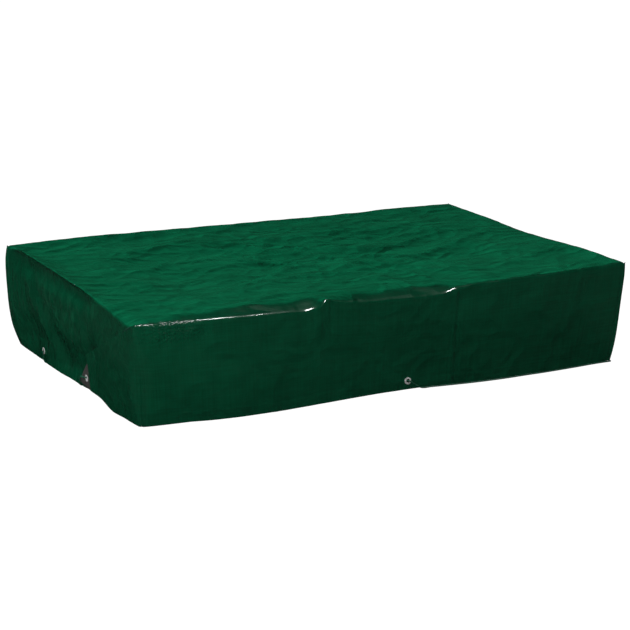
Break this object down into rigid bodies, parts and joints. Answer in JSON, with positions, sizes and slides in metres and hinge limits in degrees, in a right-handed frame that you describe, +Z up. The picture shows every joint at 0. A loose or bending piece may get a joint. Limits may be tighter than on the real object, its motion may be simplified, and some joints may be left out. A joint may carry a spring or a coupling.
{
  "type": "sandbox with cover",
  "caption": "Rectangular timber sandbox with a seat all round and a sand filling, under a loose woven cover with folded corners, hem eyelets and a drawcord.",
  "frame": {"origin": "on the ground, under the middle of the timber box", "axes": "+X along the long side to the right, -Y towards the front long side, +Z up"},
  "size_m": [1.441, 0.9495, 0.2803],
  "materials": {
    "stained_wood": "red stained softwood, planed",
    "screw_steel": "zinc plated",
    "liner": "black woven ground cloth",
    "sand": "dry play sand",
    "tarpaulin": "laminated woven polyethylene, semi-gloss",
    "corner_patch": "dark grey reinforcement, matte",
    "eyelet_metal": "pressed, satin",
    "cord": "twisted synthetic cord"
  },
  "bodies": {
    "sandbox": {"plank_front_lower": "stained_wood", "plank_front_upper": "stained_wood", "plank_back_lower": "stained_wood", "plank_back_upper": "stained_wood", "plank_left_lower": "stained_wood", "plank_left_upper": "stained_wood", "plank_right_lower": "stained_wood", "plank_right_upper": "stained_wood", "post_front_left": "stained_wood", "post_front_right": "stained_wood", "post_back_left": "stained_wood", "post_back_right": "stained_wood", "cleat_front": "stained_wood", "cleat_back": "stained_wood", "seat_front": "stained_wood", "seat_back": "stained_wood", "seat_left": "stained_wood", "seat_right": "stained_wood", "plank_screws": "screw_steel", "cleat_screws": "screw_steel", "seat_screws": "screw_steel", "ground_liner": "liner", "sand_fill": "sand"},
    "cover": {"cover_sheet": "tarpaulin", "patch_front_left": "corner_patch", "patch_front_right": "corner_patch", "patch_back_left": "corner_patch", "patch_back_right": "corner_patch", "hem_eyelets": "eyelet_metal", "corner_eyelets": "eyelet_metal", "hem_washers": "eyelet_metal", "corner_washers": "eyelet_metal", "hem_cord": "cord", "cord_knot": "cord"}
  },
  "joints": [
    {"name": "cover_lift", "type": "slide", "parent": "sandbox", "child": "cover", "axis": [0, 0, 1], "range_m": [0, 0.45]}
  ]
}
